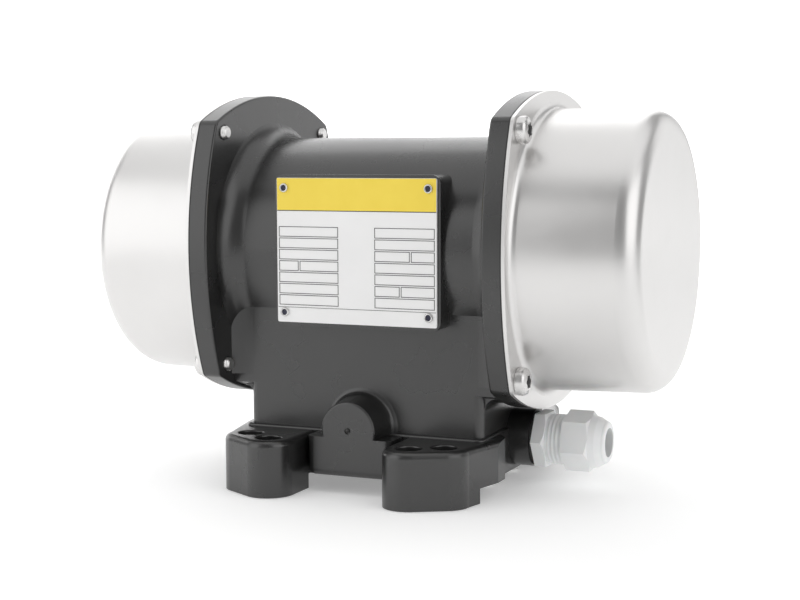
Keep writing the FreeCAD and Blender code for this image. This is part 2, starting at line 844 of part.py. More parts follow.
def build_cover(name, side):
    """A deep-drawn cup with a flange of the housing's outline."""
    body = new_body(name + "_cover")
    opening = "cover_base_radius + cover_foot_radius"
    slab(body, COVER_SEAT, COVER_FACE, side, flange_outline(), ("0", "0", opening))
    round_edges(body, "flange_corner_radius", flange_corner)
    cup = sketch_on(body, "XZ_Plane", y="shaft_height")
    foot, sheet_metal, corner = "cover_foot_radius", "cover_sheet", "cover_corner_radius"
    draw(cup, mirrored([
        (COVER_SEAT, opening),
        (COVER_FACE, opening, foot, 1),
        (f"{COVER_FACE} + {foot}", "cover_base_radius"),
        (f"cover_reach - {corner}", "cover_end_radius", corner, -1),
        ("cover_reach", f"cover_end_radius - {corner}"),
        ("cover_reach", "0"),
        (f"cover_reach - {sheet_metal}", "0"),
        (f"cover_reach - {sheet_metal}", f"cover_end_radius - {corner}", f"{corner} - {sheet_metal}", 1),
        (f"cover_reach - {corner}", f"cover_end_radius - {sheet_metal}"),
        (f"{COVER_FACE} + {foot}", f"cover_base_radius - {sheet_metal}", f"{foot} + {sheet_metal}", -1),
    ], side))
    turned(body, cup)
    bore(body, COVER_SEAT, COVER_FACE, side,
         *circles(cover_screw_places(), "cover_screw_radius + bolt_clearance"))


def build_gasket(name, side):
    body = new_body(name + "_cover_gasket")
    opening = "cover_base_radius + cover_foot_radius - gasket_thickness"
    slab(body, "flange_reach", COVER_SEAT, side, flange_outline(), ("0", "0", opening),
         *circles(cover_screw_places(), "cover_screw_radius + bolt_clearance"))
    round_edges(body, "flange_corner_radius", flange_corner)


def build_cover_screws(name, side):
    """Four pan-head screws through the cover and gasket into the flange."""
    body = new_body(name + "_cover_screws")
    tip = f"{COVER_FACE} - cover_screw_length"
    top = f"{COVER_FACE} + cover_screw_head_height"
    slab(body, tip, COVER_FACE, side, *circles(cover_screw_places(), "cover_screw_radius"))
    slab(body, COVER_FACE, top, side, *circles(cover_screw_places(), "cover_screw_head_radius"))
    outer = value(top)
    round_edges(body, "cover_screw_crown", lambda edge: near(abs(edge.CenterOfMass.x), outer))
    bore(body, f"{top} - cover_screw_socket_depth", top, side,
         *[hexagon(x, y, "cover_screw_socket") for x, y in cover_screw_places()])


# ---------------------------------------------------------------- bearings and shields

def build_shield(name, side):
    """The bearing shield: a spigot in the barrel, a flange on its face and a hub for the bearing."""
    seat = "bearing_outside / 2 + seat_clearance"
    groove_end = f"({BEARING_INNER_FACE} + seat_clearance)"
    body = spun(name + "_bearing_shield", mirrored([
        (SHIELD_FACE, "shield_lip_radius"),
        (SHIELD_FACE, "shield_radius"),
        ("flange_reach", "shield_radius"),
        ("flange_reach", "barrel_bore_radius - seat_clearance"),
        (SHIELD_WEB_START, "barrel_bore_radius - seat_clearance"),
        (SHIELD_WEB_START, "shield_hub_radius"),
        (SHIELD_HUB_END, "shield_hub_radius"),
        (SHIELD_HUB_END, seat),
        (f"{BEARING_INNER_FACE} - circlip_thickness - seat_clearance", seat),
        (f"{BEARING_INNER_FACE} - circlip_thickness - seat_clearance", f"{seat} + circlip_depth"),
        (groove_end, f"{seat} + circlip_depth"),
        (groove_end, seat),
        (BEARING_OUTER_FACE, seat),
        (BEARING_OUTER_FACE, "shield_lip_radius"),
    ], side))
    bore(body, "flange_reach", SHIELD_FACE, side,
         *circles(shield_screw_places(), "shield_screw_radius + bolt_clearance"))

    screws = new_body(name + "_shield_screws")
    slab(screws, f"{SHIELD_FACE} - shield_screw_length", SHIELD_FACE, side,
         *circles(shield_screw_places(), "shield_screw_radius"))
    top = f"{SHIELD_FACE} + shield_screw_head_height"
    slab(screws, SHIELD_FACE, top, side, *circles(shield_screw_places(), "shield_screw_head_radius"))
    bore(screws, f"{top} - shield_screw_head_height / 2", top, side,
         *[hexagon(x, y, "shield_screw_head_radius") for x, y in shield_screw_places()])


def build_circlip(name, side):
    """The ring that holds the bearing in its seat."""
    outer = "(bearing_outside / 2 + circlip_depth)"
    body = spun(name + "_bearing_circlip", tube(
        f"{BEARING_INNER_FACE} - circlip_thickness", BEARING_INNER_FACE,
        f"{outer} - circlip_band", outer, side))
    bore(body, f"{BEARING_INNER_FACE} - circlip_thickness", BEARING_INNER_FACE, side,
         rectangle("-circlip_gap / 2", "ball_pitch_radius", "circlip_gap / 2", f"{outer} + circlip_depth"))


def build_bearing(name, side):
    """A deep-groove ball bearing: two races, a cage and its balls."""
    middle = f"({BEARING_OUTER_FACE} - bearing_width / 2)"
    inner_half = "sqrt(groove_radius^2 - (ball_pitch_radius - race_inner_radius)^2)"
    outer_half = "sqrt(groove_radius^2 - (race_outer_radius - ball_pitch_radius)^2)"
    spun(name + "_bearing_outer_race", mirrored([
        (BEARING_OUTER_FACE, "bearing_outside / 2"),
        (BEARING_INNER_FACE, "bearing_outside / 2"),
        (BEARING_INNER_FACE, "race_outer_radius"),
        (f"{middle} - {outer_half}", "race_outer_radius", "groove_radius", -1),
        (f"{middle} + {outer_half}", "race_outer_radius"),
        (BEARING_OUTER_FACE, "race_outer_radius"),
    ], side))
    spun(name + "_bearing_inner_race", mirrored([
        (BEARING_INNER_FACE, "bearing_bore / 2 + seat_clearance"),
        (BEARING_OUTER_FACE, "bearing_bore / 2 + seat_clearance"),
        (BEARING_OUTER_FACE, "race_inner_radius"),
        (f"{middle} + {inner_half}", "race_inner_radius", "groove_radius", -1),
        (f"{middle} - {inner_half}", "race_inner_radius"),
        (BEARING_INNER_FACE, "race_inner_radius"),
    ], side))

    cage = spun(name + "_bearing_cage", tube(
        f"{middle} - cage_width / 2", f"{middle} + cage_width / 2",
        "ball_pitch_radius - cage_thickness / 2", "ball_pitch_radius + cage_thickness / 2", side))
    pocket = sketch_on(cage, "XY_Plane", z="shaft_height")
    circle(pocket, signed(middle, side), "0", "cage_pocket_radius")
    pattern_round(cage, cut(cage, pocket, "ball_pitch_radius + cage_thickness"), "ball_count")

    balls = new_body(name + "_bearing_balls")
    half_disc = sketch_on(balls, "XZ_Plane", y="shaft_height + ball_pitch_radius")
    draw(half_disc, [
        (f"{signed(middle, side)} - ball_radius", "0"),
        (f"{signed(middle, side)} + ball_radius", "0", "ball_radius", 1),
        (signed(middle, side), "ball_radius", "ball_radius", 1),
    ])
    pattern_round(balls, turned(balls, half_disc), "ball_count")


# ---------------------------------------------------------------- stator

def slot_outline():
    """One slot with its narrow mouth, above the shaft."""
    return [
        ("-slot_opening / 2", "stator_bore_radius - 1"),
        ("slot_opening / 2", "stator_bore_radius - 1"),
        ("slot_opening / 2", "slot_neck_radius"),
        ("slot_width / 2", "slot_neck_radius"),
        ("slot_width / 2", "slot_depth_radius"),
        ("-slot_width / 2", "slot_depth_radius"),
        ("-slot_width / 2", "slot_neck_radius"),
        ("-slot_opening / 2", "slot_neck_radius"),
    ]


def build_stator():
    core = spun("stator_core", rectangle(
        "-stator_half_length", "stator_bore_radius",
        "stator_half_length", "barrel_bore_radius - seat_clearance"))
    slot = bore(core, "-stator_half_length", "stator_half_length", RIGHT, slot_outline())
    pattern_round(core, slot, "slot_count")

    coils = new_body("stator_windings")
    profile = sketch_on(coils, "XZ_Plane", y="shaft_height")
    for side in (LEFT, RIGHT):
        draw(profile, mirrored([
            ("coil_start", "coil_inner_radius"),
            ("coil_end - 3", "coil_inner_radius", "3", 1),
            ("coil_end", "coil_inner_radius + 3"),
            ("coil_end", "coil_outer_radius - 3", "3", 1),
            ("coil_end - 3", "coil_outer_radius"),
            ("coil_start", "coil_outer_radius"),
        ], side))
    turned(coils, profile)
    bar = slab(coils, "-coil_start", "coil_start", RIGHT, rectangle(
        "-slot_width / 2 + coil_gap", "slot_neck_radius + coil_gap * 2",
        "slot_width / 2 - coil_gap", "slot_depth_radius - coil_gap"))
    pattern_round(coils, bar, "slot_count")


# ---------------------------------------------------------------- rotor

def build_rotor():
    step = BEARING_INNER_FACE
    groove = shaft_ring_start()
    right_half = [
        (step, "shaft_middle_radius"),
        (step, "bearing_bore / 2"),
        (BEARING_OUTER_FACE, "bearing_bore / 2"),
        (BEARING_OUTER_FACE, "shaft_end_radius"),
        (groove, "shaft_end_radius"),
        (groove, "shaft_end_radius - shaft_ring_depth"),
        (f"{groove} + shaft_ring_thickness", "shaft_end_radius - shaft_ring_depth"),
        (f"{groove} + shaft_ring_thickness", "shaft_end_radius"),
        (f"{SHAFT_REACH} - shaft_end_chamfer", "shaft_end_radius"),
        (SHAFT_REACH, "shaft_end_radius - shaft_end_chamfer"),
        (SHAFT_REACH, "0"),
    ]
    shaft = spun("shaft", mirrored(right_half, LEFT)[::-1] + right_half)
    for side in (LEFT, RIGHT):
        bore(shaft, WEIGHT_START, f"{WEIGHT_START} + {WEIGHT_THICKNESS}", side,
             rectangle("-key_width / 2", "-shaft_end_radius - 1", "key_width / 2", "-key_seat"))

    core = spun("rotor_core", rectangle(
        "-rotor_core_half_length", "shaft_middle_radius + seat_clearance",
        "rotor_core_half_length", "rotor_core_radius"))
    hole = bore(core, "-rotor_core_half_length", "rotor_core_half_length", RIGHT,
                ("0", "rotor_bar_circle", "rotor_bar_radius + thread_clearance"))
    pattern_round(core, hole, "rotor_bar_count")

    cage = new_body("rotor_cage")
    profile = sketch_on(cage, "XZ_Plane", y="shaft_height")
    for side in (LEFT, RIGHT):
        draw(profile, tube("rotor_core_half_length", "rotor_core_half_length + rotor_ring_thickness",
                           "rotor_ring_inner", "rotor_ring_outer", side))
    turned(cage, profile)
    bar = slab(cage, "-rotor_core_half_length", "rotor_core_half_length", RIGHT,
               ("0", "rotor_bar_circle", "rotor_bar_radius"))
    pattern_round(cage, bar, "rotor_bar_count")


def shaft_ring_start():
    return f"({WEIGHT_START} + 2 * {WEIGHT_THICKNESS} + weight_spacing + running_gap)"


def weight_outline():
    """A half disc below the shaft, with a split clamping hub above it."""
    radius, hub, lug, corner = "weight_radius", "weight_hub_half_width", "weight_lug_rise", "weight_corner_radius"
    return [
        (f"-{radius}", "0", radius, 1),
        ("0", f"-{radius}", radius, 1),
        (radius, "0"),
        (f"{hub} + {corner}", "0", corner, -1),
        (hub, corner),
        (hub, f"{lug} - {corner}", corner, 1),
        (f"{hub} - {corner}", lug),
        (f"-{hub} + {corner}", lug, corner, 1),
        (f"-{hub}", f"{lug} - {corner}"),
        (f"-{hub}", corner, corner, -1),
        (f"-{hub} - {corner}", "0"),
    ]


def build_weight(name, side, start, keyed):
    """One eccentric weight and the screw that clamps it."""
    end = f"{start} + {WEIGHT_THICKNESS}"
    body = new_body(name + "_weight")
    slab(body, start, end, side, weight_outline())
    fit = "seat_clearance" if keyed else "seat_clearance * 2"
    bore(body, start, end, side, ("0", "0", f"shaft_end_radius + {fit}"))
    bore(body, start, end, side, rectangle(
        "-weight_slot / 2", "0", "weight_slot / 2", "weight_lug_rise + 1"))
    if keyed:
        bore(body, start, end, side, rectangle(
            "-key_width / 2 - seat_clearance", "-key_height - seat_clearance",
            "key_width / 2 + seat_clearance", "0"))
    middle = signed(f"({start} + {WEIGHT_THICKNESS} / 2)", side)
    across = sketch_on(body, "XZ_Plane", y="shaft_height", z="-weight_hub_half_width")
    circle(across, middle, "weight_screw_rise", f"{WEIGHT_SCREW} + thread_clearance")
    cut(body, across, "2 * weight_hub_half_width")

    screw = new_body(name + "_weight_screw")
    hub = "weight_hub_half_width"
    for depth, length, radius in (
            (f"-{hub} - weight_nut_height", f"2 * {hub} + weight_nut_height", WEIGHT_SCREW),
            (hub, "weight_screw_head_height", WEIGHT_SCREW_HEAD)):
        sketch = sketch_on(screw, "XZ_Plane", y="shaft_height", z=depth)
        circle(sketch, middle, "weight_screw_rise", radius)
        pad(screw, sketch, length)
    nut = sketch_on(screw, "XZ_Plane", y="shaft_height", z=f"-{hub} - weight_nut_height")
    draw(nut, hexagon(middle, "weight_screw_rise", f"2 * {WEIGHT_SCREW_HEAD}"))
    pad(screw, nut, "weight_nut_height")
    socket = sketch_on(screw, "XZ_Plane", y="shaft_height", z=f"{hub} + weight_screw_head_height / 2")
    draw(socket, hexagon(middle, "weight_screw_rise", WEIGHT_SCREW_HEAD))
    cut(screw, socket, "weight_screw_head_height / 2")


def build_shaft_end(name, side):
    """What sits on one end of the shaft: spacer, key, two weights and the ring that keeps them on."""
    spun(name + "_spacer", tube(BEARING_OUTER_FACE, WEIGHT_START,
                                "bearing_bore / 2 + seat_clearance", "spacer_radius", side))
    build_weight(name + "_fixed", side, WEIGHT_START, keyed=True)
    second = f"({WEIGHT_START} + {WEIGHT_THICKNESS} + weight_spacing)"
    build_weight(name + "_adjustable", side, second, keyed=False)
    key = new_body(name + "_key")
    slab(key, WEIGHT_START, f"{WEIGHT_START} + {WEIGHT_THICKNESS}", side, rectangle(
        "-key_width / 2", "-key_height", "key_width / 2", "-key_seat"))
    ring = spun(name + "_shaft_ring", tube(
        shaft_ring_start(), f"{shaft_ring_start()} + shaft_ring_thickness",
        "shaft_end_radius - shaft_ring_depth + seat_clearance", "shaft_ring_radius", side))
    bore(ring, shaft_ring_start(), f"{shaft_ring_start()} + shaft_ring_thickness", side, rectangle(
        "-weight_slot", "0", "weight_slot", "shaft_ring_radius + 1"))


# ---------------------------------------------------------------- terminal chamber

def build_terminal_chamber():
    underside = "(pedestal_underside - gasket_thickness - bottom_cover_thickness)"
    for label, base, thickness in (
            ("bottom_gasket", "pedestal_underside - gasket_thickness", "gasket_thickness"),
            ("bottom_cover", underside, "bottom_cover_thickness")):
        body = new_body(label)
        sketch = sketch_on(body, "XY_Plane", z=base)
        length = "(pedestal_half_length - bottom_cover_inset)"
        width = "(pedestal_half_width - bottom_cover_side_inset)"
        draw(sketch, rounded_rectangle(
            f"-{length}", f"-{width}", length, width, "(pedestal_corner_radius - bottom_cover_inset)"))
        if label == "bottom_gasket":
            draw(sketch, rounded_rectangle(
                "-chamber_half_length", "-chamber_half_width",
                "chamber_half_length", "chamber_half_width", "chamber_corner_radius"))
        for x_sign, y_sign in CORNERS:
            circle(sketch, signed("bottom_screw_offset", x_sign),
                   signed("bottom_screw_reach", y_sign), "bottom_screw_radius + bolt_clearance")
        pad(body, sketch, thickness)

    screws = new_body("bottom_cover_screws")
    for base, length, radius in (
            (underside, "bottom_screw_length - bottom_cover_thickness", "bottom_screw_radius"),
            (f"{underside} - bottom_screw_head_height", "bottom_screw_head_height", "bottom_screw_head_radius")):
        sketch = sketch_on(screws, "XY_Plane", z=base)
        for x_sign, y_sign in CORNERS:
            circle(sketch, signed("bottom_screw_offset", x_sign),
                   signed("bottom_screw_reach", y_sign), radius)
        pad(screws, sketch, length)

    block = new_body("terminal_block")
    sketch = sketch_on(block, "XY_Plane", z="chamber_roof - terminal_height")
    left, right = "(terminal_shift - terminal_length / 2)", "(terminal_shift + terminal_length / 2)"
    draw(sketch, rectangle(left, "-terminal_width / 2", right, "terminal_width / 2"))
    pad(block, sketch, "terminal_height")
    wells = sketch_on(block, "XY_Plane", z="chamber_roof - terminal_height")
    for x, y in terminal_places():
        circle(wells, x, y, "terminal_screw_radius + bolt_clearance")
    cut(block, wells, "terminal_height / 2")

    terminals = new_body("terminal_screws")
    sketch = sketch_on(terminals, "XY_Plane", z="chamber_roof - terminal_height + 1")
    for x, y in terminal_places():
        circle(sketch, x, y, "terminal_screw_radius")
    pad(terminals, sketch, "terminal_height / 2 - 1")


def terminal_places():
    return [
        (f"terminal_shift + {step} * terminal_pitch", signed("terminal_width / 4", row))
        for step in (-1, 0, 1)
        for row in (-1, 1)
    ]


def build_leads():
    """Three leads from the windings down to the terminal block."""
    body = new_body("winding_leads")
    sketch = sketch_on(body, "XY_Plane", z="chamber_roof")
    for step in (-1, 0, 1):
        circle(sketch, "lead_offset - lead_hole_radius / 2", f"{step} * lead_pitch", "lead_radius")
    pad(body, sketch, "shaft_height - coil_outer_radius - chamber_roof")


# ---------------------------------------------------------------- cable gland

def gland_turned(body, points, kind="Revolution"):
    profile = sketch_on(body, "XZ_Plane", y="gland_height")
    draw(profile, points)
    return turned(body, profile, kind)


def gland_hex(body, start, end, turn):
    sketch = sketch_on(body, "YZ_Plane", y="gland_height", z=start)
    draw(sketch, hexagon("0", "0", "gland_flats", turn))
    return pad(body, sketch, f"{end} - ({start})")


def chamfer_hex(body, start, end, lead):
    """Turn the corners of a hexagon down to a cone at its free end."""
    corner = "gland_flats / 2 / cos(30)"
    outside = f"{corner} + 1"
    at, back = (end, f"{end} - {lead}") if value(end) > value(start) else (end, f"{end} + {lead}")
    turn_way = [
        (at, f"{corner} - {lead} * 1.7"),
        (at, outside),
        (back, outside),
        (back, corner),
    ]
    gland_turned(body, turn_way, "Groove")


def build_gland():
    hex_start = "(gland_boss_reach + gland_ring_thickness)"
    neck_end = "(gland_collar_reach + gland_neck_length)"
    washer = new_body("gland_washer")
    gland_turned(washer, rectangle("gland_boss_reach", "gland_thread_radius + thread_clearance",
                                   hex_start, "gland_flats / 2"))

    body = new_body("gland_body")
    gland_hex(body, hex_start, "gland_body_hex_reach", "0")
    chamfer_hex(body, hex_start, "gland_body_hex_reach", "0.7")
    gland_turned(body, [
        ("chamber_half_length + 2", "0"),
        (neck_end, "0"),
        (neck_end, "gland_neck_radius"),
        ("gland_collar_reach", "gland_neck_radius"),
        ("gland_collar_reach", "gland_collar_radius"),
        ("gland_body_hex_reach", "gland_collar_radius"),
        (hex_start, "gland_collar_radius"),
        (hex_start, "gland_thread_radius"),
        ("chamber_half_length + 2", "gland_thread_radius"),
    ])
    gland_turned(body, [
        ("chamber_half_length + 1", "0"),
        (f"{neck_end} + 1", "0"),
        (f"{neck_end} + 1", "gland_seal_radius + seat_clearance"),
        ("gland_collar_reach", "gland_seal_radius + seat_clearance"),
        ("gland_collar_reach", "gland_bore_radius"),
        ("chamber_half_length + 1", "gland_bore_radius"),
    ], "Groove")

    nut = new_body("gland_dome_nut")
    gland_hex(nut, "gland_collar_reach", NUT_END, "gland_nut_turn")
    chamfer_hex(nut, "gland_collar_reach", NUT_END, "1")
    gland_turned(nut, [
        ("gland_collar_reach", "0"),
        (GLAND_REACH, "0"),
        (GLAND_REACH, "gland_dome_radius - 1", "1", 1),
        (f"{GLAND_REACH} - 1", "gland_dome_radius"),
        (f"{GLAND_REACH} - gland_dome_length * 0.6", "gland_flats / 2 - 0.6"),
        (NUT_END, "gland_flats / 2"),
        ("gland_collar_reach", "gland_flats / 2"),
    ])
    pocket_end = f"({NUT_END} - 1)"
    gland_turned(nut, [
        ("gland_collar_reach - 1", "0"),
        (f"{GLAND_REACH} + 1", "0"),
        (f"{GLAND_REACH} + 1", "gland_mouth_radius"),
        (f"{pocket_end} + 3", "gland_mouth_radius"),
        (f"{pocket_end} + 1", "gland_seal_radius + seat_clearance"),
        (pocket_end, "gland_seal_radius + seat_clearance"),
        (pocket_end, "gland_neck_radius + thread_clearance"),
        ("gland_collar_reach - 1", "gland_neck_radius + thread_clearance"),
    ], "Groove")

    seal = new_body("gland_seal")
    gland_turned(seal, [
        ("gland_collar_reach", "gland_seal_bore"),
        (f"{pocket_end} + 1", "gland_seal_bore"),
        (f"{pocket_end} + 1", "gland_seal_radius"),
        ("gland_collar_reach", "gland_seal_radius"),
    ])


# ---------------------------------------------------------------- the whole motor

build_housing()
build_nameplate()
build_gland()
build_terminal_chamber()
build_stator()
build_leads()
build_rotor()
for side_name, side_sign in SIDES.items():
    build_cover(side_name, side_sign)
    build_gasket(side_name, side_sign)
    build_cover_screws(side_name, side_sign)
    build_shield(side_name, side_sign)
    build_circlip(side_name, side_sign)
    build_bearing(side_name, side_sign)
    build_shaft_end(side_name, side_sign)
doc.recompute()


# ---------------------------------------------------------------- checks and export

ADDS = ("PartDesign::Pad", "PartDesign::Revolution")
SUBTRACTS = ("PartDesign::Pocket", "PartDesign::Groove")


def check_model():
    faults = []
    for item in doc.Objects:
        if "Invalid" in item.State or "Error" in item.State:
            faults.append(f"{item.Label}: {item.getStatusString()}")
        if item.isDerivedFrom("PartDesign::Feature") and item.Shape.isNull():
            faults.append(f"{item.Label}: made no shape")
        elif item.TypeId in ADDS + SUBTRACTS:
            before = item.BaseFeature.Shape.Volume if item.BaseFeature else 0
            if (item.Shape.Volume > before) != (item.TypeId in ADDS):
                faults.append(f"{item.Label}: works the wrong way")
    for item in nodes:
        if item.Shape.isNull() or not item.Shape.isValid():
            faults.append(f"{item.Label}: shape is null or not valid")
    if faults:
        raise RuntimeError("\n".join(faults))


check_model()
os.makedirs("parts", exist_ok=True)
for node in nodes:
    node.Shape.exportStep(f"parts/{node.Label}.step")
print(len(nodes), "nodes")
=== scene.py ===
"""Finishes the vibration motor: materials, screws, rivets, nameplate print, camera, lights and floor."""
import json
import math

import bmesh
import bpy
from mathutils import Matrix, Vector


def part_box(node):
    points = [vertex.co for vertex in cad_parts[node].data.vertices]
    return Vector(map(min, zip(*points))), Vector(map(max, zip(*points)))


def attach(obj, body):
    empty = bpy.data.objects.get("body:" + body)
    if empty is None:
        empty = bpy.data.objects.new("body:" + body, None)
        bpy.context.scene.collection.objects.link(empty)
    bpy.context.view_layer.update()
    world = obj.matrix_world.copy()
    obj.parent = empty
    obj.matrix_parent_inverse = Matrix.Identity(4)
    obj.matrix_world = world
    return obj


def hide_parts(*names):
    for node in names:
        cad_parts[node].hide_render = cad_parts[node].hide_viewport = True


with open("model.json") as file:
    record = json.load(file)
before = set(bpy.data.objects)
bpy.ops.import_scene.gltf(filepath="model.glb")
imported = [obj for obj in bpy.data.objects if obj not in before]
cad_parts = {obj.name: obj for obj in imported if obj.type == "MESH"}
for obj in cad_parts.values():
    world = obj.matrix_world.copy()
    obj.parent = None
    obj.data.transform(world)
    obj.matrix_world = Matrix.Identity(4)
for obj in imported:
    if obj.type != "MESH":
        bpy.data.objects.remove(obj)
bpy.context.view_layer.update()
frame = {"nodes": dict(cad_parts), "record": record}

NODES = frame["nodes"]
ROOT = "motor_frame"
MM = 0.001
SHEET_THICKNESS = 0.5 * MM
SLOT_OF = {part["node"]: part["material_slot"] for part in frame["record"]["subparts"]}


# ---------------------------------------------------------------- materials

class Shader:
    """A small builder for one procedural material in object coordinates, which are metres."""

    def __init__(self, name):
        self.material = bpy.data.materials.new(name)
        self.material.use_nodes = True
        tree = self.material.node_tree
        self.nodes, self.links = tree.nodes, tree.links
        self.surface = self.nodes["Principled BSDF"]
        self.place = self.nodes.new("ShaderNodeTexCoord").outputs["Object"]

    def put(self, socket, source):
        if isinstance(source, bpy.types.NodeSocket):
            self.links.new(source, socket)
        else:
            socket.default_value = source

    def stretched(self, scale):
        """Object coordinates stretched by a scale on each axis."""
        node = self.nodes.new("ShaderNodeMapping")
        node.inputs["Scale"].default_value = scale
        self.links.new(self.place, node.inputs["Vector"])
        return node.outputs["Vector"]

    def noise(self, scale, detail=3.0, rough=0.5, where=None, distortion=0.0):
        node = self.nodes.new("ShaderNodeTexNoise")
        self.links.new(where or self.place, node.inputs["Vector"])
        node.inputs["Scale"].default_value = scale
        node.inputs["Detail"].default_value = detail
        node.inputs["Roughness"].default_value = rough
        node.inputs["Distortion"].default_value = distortion
        return node.outputs["Fac"]

    def spots(self, scale):
        node = self.nodes.new("ShaderNodeTexVoronoi")
        self.links.new(self.place, node.inputs["Vector"])
        node.inputs["Scale"].default_value = scale
        return node.outputs["Distance"]

    def remap(self, source, low, high, to_low, to_high):
        node = self.nodes.new("ShaderNodeMapRange")
        self.links.new(source, node.inputs["Value"])
        limits = {"From Min": low, "From Max": high, "To Min": to_low, "To Max": to_high}
        for socket, number in limits.items():
            node.inputs[socket].default_value = number
        return node.outputs["Result"]

    def blend(self, factor, first, second):
        node = self.nodes.new("ShaderNodeMix")
        node.data_type = "RGBA"
        self.put(node.inputs["Factor"], factor)
        self.put(node.inputs[6], first)
        self.put(node.inputs[7], second)
        return node.outputs[2]

    def math(self, operation, first, second=0.0):
        node = self.nodes.new("ShaderNodeMath")
        node.operation = operation
        self.put(node.inputs[0], first)
        self.put(node.inputs[1], second)
        return node.outputs[0]

    def along_shaft(self):
        """The X coordinate, which runs along the shaft."""
        node = self.nodes.new("ShaderNodeSeparateXYZ")
        self.links.new(self.place, node.inputs["Vector"])
        return node.outputs["X"]

    def clouded(self, cloud, first, second):
        """Two colours that change over softly with a noise."""
        return self.blend(self.remap(cloud, 0.3, 0.7, 0, 1), first, second)

    def bump(self, height, distance, strength=1.0):
        node = self.nodes.new("ShaderNodeBump")
        node.inputs["Strength"].default_value = strength
        node.inputs["Distance"].default_value = distance
        self.links.new(height, node.inputs["Height"])
        self.links.new(node.outputs["Normal"], self.surface.inputs["Normal"])

    def finish(self, colour, roughness, metallic=0.0, **others):
        self.put(self.surface.inputs["Base Color"], colour)
        self.put(self.surface.inputs["Roughness"], roughness)
        self.surface.inputs["Metallic"].default_value = metallic
        for name, number in others.items():
            self.surface.inputs[name.replace("_", " ")].default_value = number
        return self.material


def grey(level, warm=0.0):
    """A grey of the given lightness, a little warmer where warm is above 0."""
    return (level * (1 + warm), level, level * (1 - warm), 1.0)


def black_paint():
    """Semi-gloss spray paint: orange peel, fine dust and slightly uneven gloss."""
    s = Shader("black_paint")
    cloud = s.noise(38, 4)
    dust = s.noise(2600, 1, 0.4)
    colour = s.clouded(cloud, grey(0.012, 0.01), grey(0.018, 0.01))
    speck = s.remap(s.spots(420), 0.0, 0.045, 1, 0)
    specks = s.math("MULTIPLY", speck, s.remap(s.noise(55, 2), 0.60, 0.72, 0, 0.35))
    colour = s.blend(specks, colour, grey(0.30))
    s.bump(s.math("ADD", s.noise(900, 2, 0.5), s.math("MULTIPLY", dust, 0.25)), 0.00002, 0.55)
    return s.finish(colour, s.remap(cloud, 0.25, 0.75, 0.24, 0.32), Specular_IOR_Level=0.9)


def satin_stainless():
    """Deep-drawn stainless steel, with faint polishing rings round the shaft and soft handling marks."""
    s = Shader("satin_stainless")
    rings = s.noise(1.0, 3, 0.6, where=s.stretched((2300, 60, 60)))
    cloud = s.noise(26, 3, 0.55)
    marks = s.noise(60, 5, 0.65, distortion=0.8)
    colour = s.clouded(cloud, grey(0.69, 0.012), grey(0.73, 0.010))
    rough = s.math("ADD", s.remap(cloud, 0.3, 0.7, 0.31, 0.37), s.remap(marks, 0.55, 0.8, 0, 0.05))
    s.bump(s.math("ADD", rings, s.math("MULTIPLY", cloud, 2)), 0.000006, 0.5)
    return s.finish(colour, rough, 1.0)


def bright_steel(name, level, low, high):
    """Turned or ground steel: level is its lightness, low and high bound its roughness."""
    s = Shader(name)
    cloud = s.noise(175, 3)
    colour = s.clouded(cloud, grey(level * 0.9, 0.01), grey(level, 0.01))
    s.bump(s.noise(700, 2), 0.00001, 0.4)
    return s.finish(colour, s.remap(cloud, 0.3, 0.7, low, high), 1.0)


def plate_metal():
    """Printed aluminium: a satin white ground with the faint grain of rolled sheet."""
    s = Shader("plate_ground")
    grain = s.noise(1.0, 3, 0.6, where=s.stretched((60, 60, 3000)))
    cloud = s.noise(45, 3)
    colour = s.clouded(cloud, grey(0.84, 0.003), grey(0.88, 0.003))
    s.bump(grain, 0.000006, 0.4)
    return s.finish(colour, s.remap(cloud, 0.3, 0.7, 0.36, 0.46), 0.10)


def ink(name, colour, darker):
    """A thin printed or painted layer, slightly uneven between two shades; it also gives the painted
    shade of the screw recesses and the rivet cores.
    """
    s = Shader(name)
    cloud = s.noise(160, 3)
    shade = s.clouded(cloud, colour, darker)
    s.bump(s.noise(2400, 2), 0.000004, 0.4)
    return s.finish(shade, s.remap(cloud, 0.3, 0.7, 0.38, 0.48))


def rubber(name, level):
    """Matt black rubber with a fine grain."""
    s = Shader(name)
    cloud = s.noise(220, 4)
    s.bump(s.noise(2600, 3), 0.00002, 0.6)
    return s.finish(s.blend(cloud, grey(level), grey(level * 1.7)), s.remap(cloud, 0.3, 0.7, 0.55, 0.75))


def moulded_nylon():
    """Light grey nylon with a fine spark-eroded grain."""
    s = Shader("moulded_nylon")
    cloud = s.noise(120, 3)
    colour = s.clouded(cloud, (0.86, 0.87, 0.87, 1), (0.90, 0.91, 0.91, 1))
    s.bump(s.noise(3200, 2), 0.000012, 0.5)
    return s.finish(colour, s.remap(cloud, 0.3, 0.7, 0.38, 0.5),
                    Subsurface_Weight=0.06, Subsurface_Scale=0.001)


def laminated_steel():
    """Stacked sheets of 0.5 mm, with a dark line at each edge."""
    s = Shader("laminated_steel")
    sheet = s.math("FRACT", s.math("MULTIPLY", s.along_shaft(), 1 / SHEET_THICKNESS))
    edge = s.remap(sheet, 0.0, 0.14, 1, 0)
    colour = s.blend(edge, grey(0.24), grey(0.08))
    s.bump(edge, 0.00004, 0.5)
    return s.finish(colour, s.remap(s.noise(300), 0.3, 0.7, 0.35, 0.5), 0.9)


